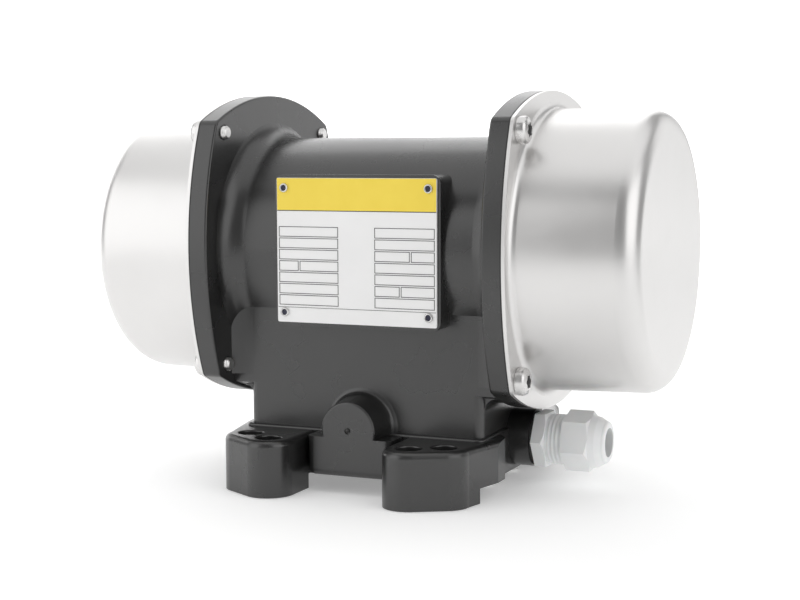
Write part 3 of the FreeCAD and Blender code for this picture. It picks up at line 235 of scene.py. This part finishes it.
def copper_wire():
    """Enamelled wire of 0.7 mm, wound turn by turn, with painted shade in the groove between turns and a
    painted highlight on each crest.
    """
    s = Shader("copper_wire")
    turn = s.math("SINE", s.math("MULTIPLY", s.along_shaft(), 9000))
    # Painted shade and highlight: the colour runs dark in each groove and light on each crest, with the
    # same sine as the bump.
    colour = s.blend(s.remap(turn, -1, 1, 0, 1), (0.20, 0.05, 0.015, 1), (0.50, 0.16, 0.05, 1))
    s.bump(turn, 0.0001, 0.6)
    return s.finish(colour, s.remap(s.noise(200), 0.3, 0.7, 0.25, 0.4), 0.6)


def cast_metal(name, level, metallic, warm=0.0):
    """Cast or rough-turned metal with a coarse grain."""
    s = Shader(name)
    grain = s.noise(1500, 4, 0.6)
    colour = s.blend(s.noise(70, 3), grey(level * 0.85, warm), grey(level * 1.1, warm))
    s.bump(grain, 0.00004, 0.5)
    return s.finish(colour, s.remap(grain, 0.3, 0.7, 0.38, 0.55), metallic)


def plain_plastic():
    """Cream moulded plastic of the terminal block."""
    s = Shader("terminal_plastic")
    cloud = s.noise(150, 3)
    s.bump(s.noise(2400, 3), 0.00002, 0.4)
    return s.finish(s.blend(cloud, (0.55, 0.52, 0.45, 1), (0.66, 0.62, 0.55, 1)),
                    s.remap(cloud, 0.3, 0.7, 0.42, 0.55))


MATERIALS = {
    "black_paint": black_paint(),
    "stainless": satin_stainless(),
    "screw_steel": bright_steel("screw_steel", 0.72, 0.22, 0.34),
    "plate": plate_metal(),
    "gasket": rubber("gasket_rubber", 0.015),
    "gland_plastic": moulded_nylon(),
    "seal_rubber": rubber("seal_rubber", 0.02),
    "cast_aluminium": cast_metal("cast_aluminium", 0.62, 0.9),
    "lamination_steel": laminated_steel(),
    "copper": copper_wire(),
    "bearing_steel": bright_steel("bearing_steel", 0.8, 0.08, 0.14),
    "shaft_steel": bright_steel("shaft_steel", 0.6, 0.2, 0.3),
    "weight_steel": cast_metal("weight_steel", 0.30, 0.9),
    "terminal_plastic": plain_plastic(),
    "brass": cast_metal("turned_brass", 0.55, 1.0, warm=0.35),
}
YELLOW_INK = ink("yellow_ink", (0.93, 0.71, 0.08, 1), (0.90, 0.68, 0.07, 1))
BLACK_INK = ink("black_ink", grey(0.03), grey(0.05))
# Painted shade for the sunk core of the nameplate rivets.
RIVET_CORE_SHADE = ink("rivet_core_shade", (0.008, 0.009, 0.028, 1), (0.014, 0.015, 0.04, 1))
# Painted shade that darkens the inside of the six-lobe screw recesses.
RECESS_PAINTED_SHADE = ink("recess_painted_shade", grey(0.10), grey(0.16))

for node, piece in NODES.items():
    piece.data.materials.clear()
    piece.data.materials.append(MATERIALS[SLOT_OF[node]])
    for face in piece.data.polygons:
        face.material_index = 0


# ---------------------------------------------------------------- mesh helpers

def islands(node):
    """The lowest and highest corner of each separate solid in a CAD node, sorted from the left."""
    mesh = NODES[node].data
    parent = list(range(len(mesh.vertices)))

    def root(i):
        while parent[i] != i:
            parent[i] = parent[parent[i]]
            i = parent[i]
        return i

    seen = {}
    for vertex in mesh.vertices:
        key = tuple(round(c, 6) for c in vertex.co)
        parent[root(vertex.index)] = root(seen.setdefault(key, vertex.index))
    for edge in mesh.edges:
        first, second = edge.vertices
        parent[root(first)] = root(second)
    groups = {}
    for vertex in mesh.vertices:
        groups.setdefault(root(vertex.index), []).append(vertex.co)
    boxes = []
    for points in groups.values():
        low = Vector([min(p[i] for p in points) for i in range(3)])
        high = Vector([max(p[i] for p in points) for i in range(3)])
        boxes.append((low, high))
    return sorted(boxes, key=lambda box: tuple(box[0]))


def make_piece(name, build, materials, body=ROOT, smooth=30):
    """Runs a bmesh builder and turns the result into a piece that rides on a body."""
    mesh = bpy.data.meshes.new(name)
    bm = bmesh.new()
    build(bm)
    bmesh.ops.remove_doubles(bm, verts=bm.verts, dist=1e-7)
    bmesh.ops.recalc_face_normals(bm, faces=bm.faces)
    limit = math.radians(smooth)
    for face in bm.faces:
        face.smooth = True
    for edge in bm.edges:
        edge.smooth = len(edge.link_faces) == 2 and edge.calc_face_angle(0) < limit
    bm.to_mesh(mesh)
    bm.free()
    for material in materials:
        mesh.materials.append(material)
    piece = bpy.data.objects.new(name, mesh)
    bpy.context.scene.collection.objects.link(piece)
    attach(piece, body)
    return piece


def lofted(bm, rings, material_of=None, closed_start=True, closed_end=True):
    """Joins equal rings of points with quads and closes the wanted ends with fans."""
    made = [[bm.verts.new(p) for p in ring] for ring in rings]
    count = len(made[0])
    for level, (near, far) in enumerate(zip(made, made[1:])):
        for i in range(count):
            j = (i + 1) % count
            face = bm.faces.new((near[i], near[j], far[j], far[i]))
            face.material_index = material_of(level) if material_of else 0
    for wanted, ring, level in ((closed_start, made[0], 0), (closed_end, made[-1], len(rings) - 2)):
        if wanted:
            middle = bm.verts.new(sum((v.co for v in ring), Vector()) / count)
            for i in range(count):
                face = bm.faces.new((ring[i], ring[(i + 1) % count], middle))
                face.material_index = material_of(level) if material_of else 0


def ring_points(centre, out, radius_at, depth, count):
    """A closed loop round the axis out, with the radius that radius_at gives at each angle."""
    side = Vector((0, 0, 1)) if abs(out.z) < 0.5 else Vector((1, 0, 0))
    across = out.cross(side).normalized()
    up = across.cross(out).normalized()
    points = []
    for i in range(count):
        angle = math.tau * i / count
        radius = radius_at(angle)
        spoke = across * radius * math.cos(angle) + up * radius * math.sin(angle)
        points.append(centre + out * depth + spoke)
    return points


def even(radius):
    """The radius function of a plain circle."""
    return lambda angle: radius


# ---------------------------------------------------------------- cover screws with a six-lobe recess

LOBES = 6
SCREW_STEPS = 72
RECESS_RADIUS = 2.25 * MM
RECESS_LOBE = 0.30 * MM
RECESS_DEPTH = 1.9 * MM
RECESS_LIP = 0.12 * MM
RECESS_TIP = 0.3 * MM
HEAD_EDGE = 0.12 * MM
THREAD_PITCH = 0.8 * MM
THREAD_DEPTH = 0.35 * MM
TIP_SHARE = 0.72
TIP_LENGTH = 0.3 * MM
TIP_TO_THREAD = 0.4 * MM
# shares of the head's radius and height, from its rim to the edge of the recess
HEAD_CROWN = ((1.0, 0.50), (0.985, 0.62), (0.94, 0.74), (0.86, 0.85),
              (0.74, 0.93), (0.62, 0.98), (0.56, 1.0))


def lobed(scale, turn):
    """The radius function of the six-lobe recess."""
    return lambda angle: (RECESS_RADIUS + RECESS_LOBE * math.cos(LOBES * (angle + turn))) * scale


def pan_screw(bm, seat, out, head_radius, head_height, shank_radius, tip_depth, turn):
    """One pan-head screw: seat is the centre of the clamped face, out points away from the metal."""
    loops = []

    def add(radius_at, depth):
        loops.append(ring_points(seat, out, radius_at, depth, SCREW_STEPS))

    root = even(shank_radius - THREAD_DEPTH)
    add(even(shank_radius * TIP_SHARE), -tip_depth)
    add(root, -tip_depth + TIP_LENGTH)
    level = -tip_depth + TIP_TO_THREAD
    while level < -THREAD_PITCH:
        add(root, level)
        add(even(shank_radius), level + THREAD_PITCH / 2)
        level += THREAD_PITCH
    add(root, 0.0)
    add(even(head_radius * 0.97), 0.0)
    add(even(head_radius), HEAD_EDGE)
    for wide, high in HEAD_CROWN:
        add(even(head_radius * wide), head_height * high)
    top = len(loops)
    add(lobed(1.0, turn), head_height)
    add(lobed(0.97, turn), head_height - RECESS_LIP)
    add(lobed(0.93, turn), head_height - RECESS_DEPTH)
    add(even(RECESS_RADIUS * 0.4), head_height - RECESS_DEPTH - RECESS_TIP)
    # the faces inside the recess take the second material, which is painted shade
    lofted(bm, loops, material_of=lambda i: 1 if i > top else 0)


SHANK_RADIUS = 2.45 * MM
COVER_SCREW_HEAD = 3.8 * MM
TURN_STEP = 0.35
for side, direction in (("left", -1), ("right", 1)):
    node = f"{side}_cover_screws"
    out = Vector((direction, 0, 0))

    def all_screws(bm, node=node, out=out, direction=direction):
        for number, (low, high) in enumerate(islands(node)):
            middle = (low + high) / 2
            crown_x, tip_x = (high.x, low.x) if direction > 0 else (low.x, high.x)
            seat = Vector((crown_x - direction * COVER_SCREW_HEAD, middle.y, middle.z))
            pan_screw(bm, seat, out, (high.y - low.y) / 2, COVER_SCREW_HEAD, SHANK_RADIUS,
                      abs(seat.x - tip_x), TURN_STEP * number)

    screws = make_piece(f"{side}_torx_screws", all_screws,
                        [MATERIALS["screw_steel"], RECESS_PAINTED_SHADE])
    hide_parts(node)


# ---------------------------------------------------------------- nameplate print and rivets

plate_low, plate_high = (Vector(corner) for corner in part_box("nameplate"))
PLATE_W = plate_high.x - plate_low.x
PLATE_H = plate_high.z - plate_low.z
PRINT_Y = plate_low.y - 0.04 * MM
PRINT_THICKNESS = 0.03 * MM
BAND_SHARE = 0.222
BAND_INSET = 0.12 * MM
BAND_LINE_TOP = 0.02 * MM
BAND_LINE_BOTTOM = 0.30 * MM
LINE = 0.22 * MM
BOX_LEFT = (0.012, 0.392)
BOX_RIGHT = (0.620, 0.988)
BOX_TOP, BOX_BOTTOM = 0.335, 0.888
ROWS = 7
ROW_GAP = 0.008
SPLIT_GAP = 0.004
LEFT_SPLITS = {3: 0.34}
RIGHT_SPLITS = {2: 0.60, 5: 0.43}
RULE_INSET = 0.004
RULE_DROP = 0.006
RULE_WIDTH = 0.003
YELLOW, BLACK = 0, 1


def at_plate(u, v):
    """A point of the plate's face from shares of its width and height, from the top left corner."""
    return plate_low.x + u * PLATE_W, plate_high.z - v * PLATE_H


def flat_bar(bm, left, bottom, right, top, material):
    """A thin printed rectangle with a real thickness, on the face of the plate."""
    corners = [(left, bottom), (right, bottom), (right, top), (left, top)]
    front = [bm.verts.new((x, PRINT_Y - PRINT_THICKNESS, z)) for x, z in corners]
    back = [bm.verts.new((x, PRINT_Y + PRINT_THICKNESS, z)) for x, z in corners]
    faces = [bm.faces.new(front), bm.faces.new(back[::-1])]
    for i in range(4):
        j = (i + 1) % 4
        faces.append(bm.faces.new((front[i], back[i], back[j], front[j])))
    for face in faces:
        face.material_index = material


def printed_frame(bm, u0, v0, u1, v1):
    """An empty ruled box between two points given as shares of the plate."""
    left, top = at_plate(u0, v0)
    right, bottom = at_plate(u1, v1)
    flat_bar(bm, left, top - LINE, right, top, BLACK)
    flat_bar(bm, left, bottom, right, bottom + LINE, BLACK)
    flat_bar(bm, left, bottom + LINE, left + LINE, top - LINE, BLACK)
    flat_bar(bm, right - LINE, bottom + LINE, right, top - LINE, BLACK)


def nameplate_print(bm):
    """A yellow header band and two columns of ruled, empty boxes."""
    left, right = plate_low.x + BAND_INSET, plate_high.x - BAND_INSET
    band_bottom = plate_high.z - BAND_SHARE * PLATE_H
    flat_bar(bm, left, band_bottom, right, plate_high.z - BAND_INSET, YELLOW)
    flat_bar(bm, left, band_bottom - BAND_LINE_BOTTOM, right, band_bottom - BAND_LINE_TOP, BLACK)
    pitch = (BOX_BOTTOM - BOX_TOP) / ROWS
    for (start, end), splits in ((BOX_LEFT, LEFT_SPLITS), (BOX_RIGHT, RIGHT_SPLITS)):
        for row in range(ROWS):
            top = BOX_TOP + row * pitch
            bottom = top + pitch - ROW_GAP
            if row in splits:
                middle = start + (end - start) * splits[row]
                printed_frame(bm, start, top, middle - SPLIT_GAP, bottom)
                printed_frame(bm, middle + SPLIT_GAP, top, end, bottom)
            else:
                printed_frame(bm, start, top, end, bottom)
    rule_top = BOX_BOTTOM + RULE_DROP
    left, top = at_plate(RULE_INSET, rule_top)
    right, bottom = at_plate(1 - RULE_INSET, rule_top + RULE_WIDTH)
    flat_bar(bm, left, bottom, right, top, BLACK)


make_piece("nameplate_print", nameplate_print, [YELLOW_INK, BLACK_INK])

RIVET_STEPS = 40
RIVET_CORE_START = 5
# shares of the rivet's radius and height, from the plate over the rim into the sunk core
RIVET_SHAPE = ((1.0, 0.0), (1.02, 0.35), (0.98, 0.70), (0.90, 0.92), (0.80, 1.0), (0.70, 0.94),
               (0.64, 0.62), (0.5, 0.52), (0.25, 0.56))


def hollow_rivets(bm):
    """Drive rivets: a rolled bright rim round a sunk core, darkened with painted shade."""
    out = Vector((0, -1, 0))
    for low, high in islands("nameplate_rivets"):
        middle = (low + high) / 2
        radius = (high.x - low.x) / 2
        face = Vector((middle.x, plate_low.y, middle.z))
        rim = plate_low.y - low.y
        loops = [ring_points(face, out, even(radius * wide), rim * raised, RIVET_STEPS)
                 for wide, raised in RIVET_SHAPE]
        # the faces of the sunk core take the second material, which is painted shade
        lofted(bm, loops, material_of=lambda i: 1 if i > RIVET_CORE_START else 0, closed_start=False)


rivets = make_piece("rivet_rims", hollow_rivets,
                    [MATERIALS["screw_steel"], RIVET_CORE_SHADE], smooth=50)
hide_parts("nameplate_rivets")


# ---------------------------------------------------------------- gland thread before the dome nut

GLAND_STEPS = 64
GLAND_PITCH = 1.5 * MM
GLAND_ROOT = 8.78 * MM
GLAND_RISE = 0.30 * MM
GLAND_THREAD_START = 5.6 * MM
GLAND_THREAD_END = 0.4 * MM


def gland_thread(bm):
    """The turns of thread that stay visible before the dome nut."""
    nut_low, nut_high = (Vector(c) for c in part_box("gland_dome_nut"))
    centre = Vector((0, 0, (nut_low.z + nut_high.z) / 2))
    out = Vector((1, 0, 0))
    level, end = nut_low.x - GLAND_THREAD_START, nut_low.x - GLAND_THREAD_END
    loops = []
    while level < end:
        for share, rise in ((0.0, 0.0), (0.25, GLAND_RISE), (0.55, GLAND_RISE), (0.80, 0.0)):
            loops.append(ring_points(centre, out, even(GLAND_ROOT + rise), level + share * GLAND_PITCH,
                                     GLAND_STEPS))
        level += GLAND_PITCH
    lofted(bm, loops, closed_start=False, closed_end=False)


make_piece("gland_thread", gland_thread, [MATERIALS["gland_plastic"]], smooth=50)


# ---------------------------------------------------------------- floor, backdrop, camera and lights

def stage_plane(name, corners, material):
    """A flat four-cornered plane of the studio."""
    mesh = bpy.data.meshes.new(name)
    mesh.from_pydata(corners, [], [tuple(range(len(corners)))])
    mesh.materials.append(material)
    plane = bpy.data.objects.new(name, mesh)
    bpy.context.scene.collection.objects.link(plane)


def studio_white(name, glow):
    """Matt white paper that glows a little, so that it stays white in the picture."""
    s = Shader(name)
    cloud = s.noise(3, 2)
    s.surface.inputs["Emission Color"].default_value = (1, 1, 1, 1)
    s.surface.inputs["Emission Strength"].default_value = glow
    return s.finish(s.blend(cloud, grey(0.86), grey(0.9)), s.remap(cloud, 0.3, 0.7, 0.75, 0.85),
                    Specular_IOR_Level=0.1)


AZIMUTH, ELEVATION, ROLL = math.radians(23.504), math.radians(5.519), math.radians(-0.202)
CAMERA_PLACE = (0.2290, -0.5269, 0.1194)
LENS, SENSOR_WIDTH = 69.88, 36
back = Vector((math.sin(AZIMUTH) * math.cos(ELEVATION), -math.cos(AZIMUTH) * math.cos(ELEVATION),
               math.sin(ELEVATION)))
right = Vector((math.cos(AZIMUTH), math.sin(AZIMUTH), 0))
up = back.cross(right)
turned_right = right * math.cos(ROLL) + up * math.sin(ROLL)
turned_up = up * math.cos(ROLL) - right * math.sin(ROLL)
camera_data = bpy.data.cameras.new("camera")
camera_data.lens = LENS
camera_data.sensor_width = SENSOR_WIDTH
camera_data.clip_start, camera_data.clip_end = 0.01, 50
camera = bpy.data.objects.new("camera", camera_data)
turn = Matrix((turned_right, turned_up, back)).transposed().to_4x4()
camera.matrix_world = Matrix.Translation(CAMERA_PLACE) @ turn
bpy.context.scene.collection.objects.link(camera)
bpy.context.scene.camera = camera

FLOOR_HALF = 2.5
FLOOR_Z = -0.2 * MM
floor_corners = [(x, y, FLOOR_Z) for x, y in ((-FLOOR_HALF, -FLOOR_HALF), (FLOOR_HALF, -FLOOR_HALF),
                                              (FLOOR_HALF, FLOOR_HALF), (-FLOOR_HALF, FLOOR_HALF))]
stage_plane("floor", floor_corners, studio_white("floor_white", 0.28))

# The backdrop stands behind the motor, square to the camera, and reaches further to the left.
BACKDROP_FAR = 0.8
BACKDROP_LEFT, BACKDROP_RIGHT, BACKDROP_HEIGHT = 1.6, 0.42, 1.2
middle = Vector((0, 0, 0)) - Vector((back.x, back.y, 0)).normalized() * BACKDROP_FAR
left_end, right_end = middle - right * BACKDROP_LEFT, middle + right * BACKDROP_RIGHT
rise = Vector((0, 0, BACKDROP_HEIGHT))
stage_plane("backdrop", [left_end, right_end, right_end + rise, left_end + rise],
            studio_white("backdrop_white", 0.9))


def softbox(name, place, aim, size, power):
    """A rectangular area light turned to a point, with its size in metres and its power in watts."""
    data = bpy.data.lights.new(name, "AREA")
    data.shape = "RECTANGLE"
    data.size, data.size_y = size
    data.energy = power
    light = bpy.data.objects.new(name, data)
    light.location = place
    light.rotation_mode = "QUATERNION"
    light.rotation_quaternion = (Vector(aim) - Vector(place)).to_track_quat("-Z", "Y")
    bpy.context.scene.collection.objects.link(light)


softbox("top_light", (0.0, 0.05, 1.0), (0, 0, 0.08), (1.8, 1.3), 5.4)
softbox("front_left_light", (-1.0, -1.0, 0.6), (0, 0, 0.07), (1.4, 1.3), 6.8)
softbox("front_right_light", (1.3, -0.45, 0.62), (0, 0, 0.07), (1.4, 1.2), 6.3)
softbox("back_right_light", (0.62, 1.10, 0.35), (0.05, 0, 0.08), (0.8, 0.9), 1.9)

world = bpy.data.worlds.new("studio")
bpy.context.scene.world = world
world.use_nodes = True
sky = world.node_tree.nodes["Background"]
sky.inputs["Color"].default_value = (1, 1, 1, 1)
sky.inputs["Strength"].default_value = 0.30

scene = bpy.context.scene
scene.view_settings.view_transform = "Standard"
scene.view_settings.look = "None"
